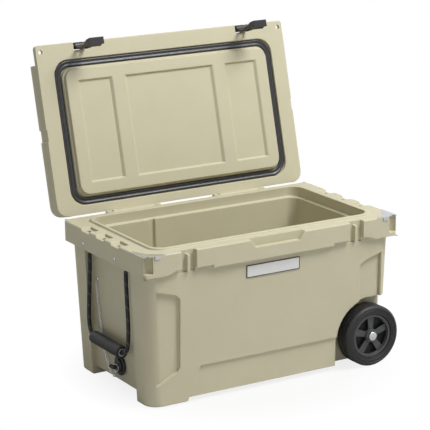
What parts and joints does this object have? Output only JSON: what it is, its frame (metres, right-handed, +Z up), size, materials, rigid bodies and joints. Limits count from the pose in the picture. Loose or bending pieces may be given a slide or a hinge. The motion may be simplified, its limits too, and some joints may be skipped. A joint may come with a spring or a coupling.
{
  "type": "wheeled ice chest",
  "caption": "Rotomoulded ice chest on two wheels, with a hinged insulated lid, rubber latches, rope tow handle, corner lock plates and a screw-out drain plug.",
  "frame": {"origin": "on the ground, under the middle of the outline of the chest with its lid open", "axes": "+X along the chest towards its wheels, +Y from its front to its hinges, +Z up"},
  "size_m": [0.705, 0.5625, 0.7925],
  "materials": {
    "tan_shell": "fine rotomoulded texture, satin",
    "tan_plug": "satin",
    "foam": "closed-cell foam",
    "black_rubber": "matt",
    "black_tyre": "matt",
    "black_plastic": "satin",
    "grey_hub": "satin grey",
    "rope": "braided, matt",
    "stainless": "brushed",
    "zinc_chain": "bright plated",
    "badge_face": "plain satin plate"
  },
  "bodies": {
    "chest": {"body_shell": "tan_shell", "body_insulation": "foam", "body_port_plug": "tan_plug", "hinge_pin_left": "stainless", "hinge_pin_right": "stainless", "corner_plate_left": "stainless", "corner_plate_right": "stainless", "badge": "badge_face", "foot_front": "black_rubber", "foot_back": "black_rubber", "washer_front": "stainless", "washer_back": "stainless", "axle": "stainless", "axle_cap_front": "stainless", "axle_cap_back": "stainless", "rope_end_front": "rope", "rope_end_back": "rope", "rope_screw_front": "stainless", "rope_screw_back": "stainless", "drain_gasket": "black_rubber", "drain_fitting": "black_plastic", "drain_nut": "black_plastic", "plug_chain": "zinc_chain", "chain_screw": "stainless"},
    "lid": {"lid_shell": "tan_shell", "lid_insulation": "foam", "lid_port_plug": "tan_plug", "lid_gasket": "black_rubber", "latch_pin_left": "stainless", "latch_pin_right": "stainless"},
    "latch_left": {"latch_left": "black_rubber"},
    "latch_right": {"latch_right": "black_rubber"},
    "wheel_front": {"tyre_front": "black_tyre", "hub_front": "grey_hub"},
    "wheel_back": {"tyre_back": "black_tyre", "hub_back": "grey_hub"},
    "tow_handle": {"tow_rope": "rope", "tow_grip": "black_rubber"},
    "plug_ring": {"plug_ring": "zinc_chain"},
    "drain_plug": {"drain_plug": "black_plastic"}
  },
  "joints": [
    {"name": "lid_hinge", "type": "hinge", "parent": "chest", "child": "lid", "pos_m": [0, 0.1307, 0.3617], "axis": [1, 0, 0], "range_deg": [0, 104]},
    {"name": "latch_left_hinge", "type": "hinge", "parent": "lid", "child": "latch_left", "pos_m": [-0.228, 0.24946, 0.75825], "axis": [1, 0, 0], "range_deg": [-110, 0]},
    {"name": "latch_right_hinge", "type": "hinge", "parent": "lid", "child": "latch_right", "pos_m": [0.228, 0.24946, 0.75825], "axis": [1, 0, 0], "range_deg": [-110, 0]},
    {"name": "wheel_front_spin", "type": "hinge", "parent": "chest", "child": "wheel_front", "pos_m": [0.277, -0.2778, 0.0755], "axis": [0, 1, 0], "continuous": true},
    {"name": "wheel_back_spin", "type": "hinge", "parent": "chest", "child": "wheel_back", "pos_m": [0.277, 0.1212, 0.0755], "axis": [0, 1, 0], "continuous": true},
    {"name": "tow_handle_swing", "type": "hinge", "parent": "chest", "child": "tow_handle", "pos_m": [-0.3325, -0.0783, 0.3117], "axis": [0, 1, 0], "range_deg": [0, 75]},
    {"name": "plug_ring_slide", "type": "slide", "parent": "chest", "child": "plug_ring", "axis": [-1, 0, 0], "range_m": [0, 0.0061]},
    {"name": "drain_plug_turn", "type": "hinge", "parent": "plug_ring", "child": "drain_plug", "pos_m": [-0.3211, -0.1003, 0.062], "axis": [-1, 0, 0], "range_deg": [0, 720]}
  ],
  "couplings": [
    {"joint": "plug_ring_slide", "follows": "drain_plug_turn", "m_per_rad": 0.00047746}
  ]
}
